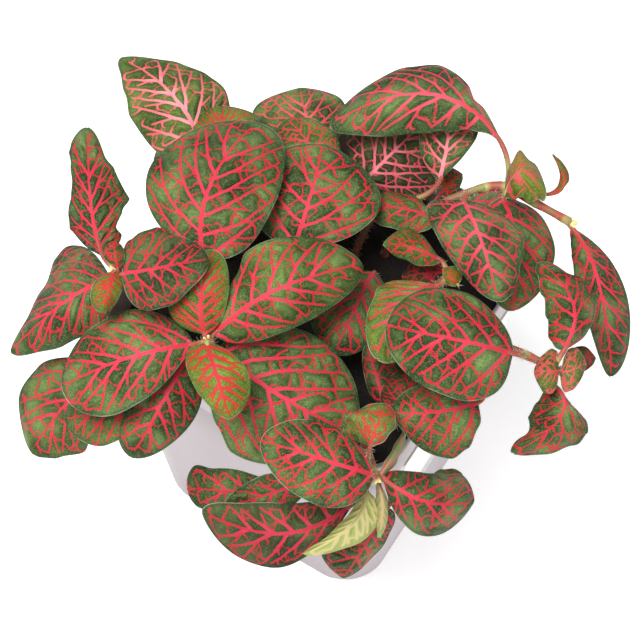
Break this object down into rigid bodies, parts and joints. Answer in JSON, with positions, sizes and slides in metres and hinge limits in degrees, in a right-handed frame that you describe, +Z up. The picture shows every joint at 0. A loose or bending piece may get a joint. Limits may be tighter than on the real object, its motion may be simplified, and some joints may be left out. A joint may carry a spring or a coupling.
{
  "type": "potted nerve plant",
  "caption": "Red-veined nerve plant with leafy stems mounding over a square pale plastic pot, with soil inside and a bare label.",
  "frame": {"origin": "centre of the pot's underside, on the surface it stands on", "axes": "+Z up, along the pot's axis; the picture looks along +Y and down, with +X to its right"},
  "size_m": [0.1946, 0.1741, 0.1723],
  "materials": {
    "pot_plastic": "smooth, faintly translucent pale grey-pink moulding",
    "soil": "dark crumbly potting soil",
    "label_paper": "bare white paper sticker",
    "leaf": "velvety green blade with raised red veins",
    "stem": "hairy green to red-brown stem"
  },
  "bodies": {
    "root": {"pot": "pot_plastic", "soil": "soil", "label": "label_paper", "shoot_left_front": "leaf", "shoot_left": "leaf", "shoot_back_left": "leaf", "shoot_back": "leaf", "shoot_back_right": "leaf", "shoot_back_middle": "leaf", "shoot_centre": "leaf", "shoot_inner": "leaf", "shoot_right": "leaf", "shoot_front": "leaf", "shoot_front_left": "leaf", "shoot_back_corner": "leaf", "shoot_back_edge": "leaf"}
  },
  "joints": []
}
